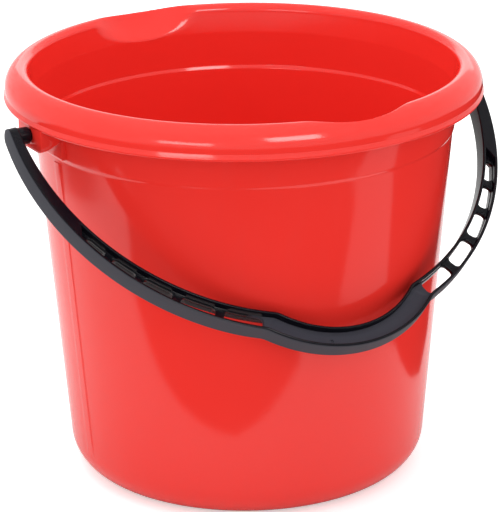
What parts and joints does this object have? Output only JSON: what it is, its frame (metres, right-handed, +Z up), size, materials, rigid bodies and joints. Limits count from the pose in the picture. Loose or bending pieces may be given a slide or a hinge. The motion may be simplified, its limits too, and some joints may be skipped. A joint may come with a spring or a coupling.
{
  "type": "bucket",
  "caption": "Round tapered household bucket with a rolled rim, pouring scoops and a moulded carrying handle that swings on pins under the rim.",
  "frame": {"origin": "on the surface that the bucket stands on, at the bucket's centre line, which is also the bottom centre of the whole part's box", "axes": "+Z up, +X along the line through the two handle pins, -Y towards the side that the handle rests on, with the pouring scoops at +Y and -Y"},
  "size_m": [0.3404, 0.3114, 0.275],
  "materials": {
    "pail_plastic": "glossy moulded red plastic",
    "handle_plastic": "satin moulded black plastic"
  },
  "bodies": {
    "bucket_body": {"bucket_body": "pail_plastic"},
    "handle": {"handle": "handle_plastic"}
  },
  "joints": [
    {"name": "handle_swing", "type": "hinge", "parent": "bucket_body", "child": "handle", "pos_m": [0, 0, 0.2489], "axis": [-1, 0, 0], "range_deg": [0, 259.8]}
  ]
}
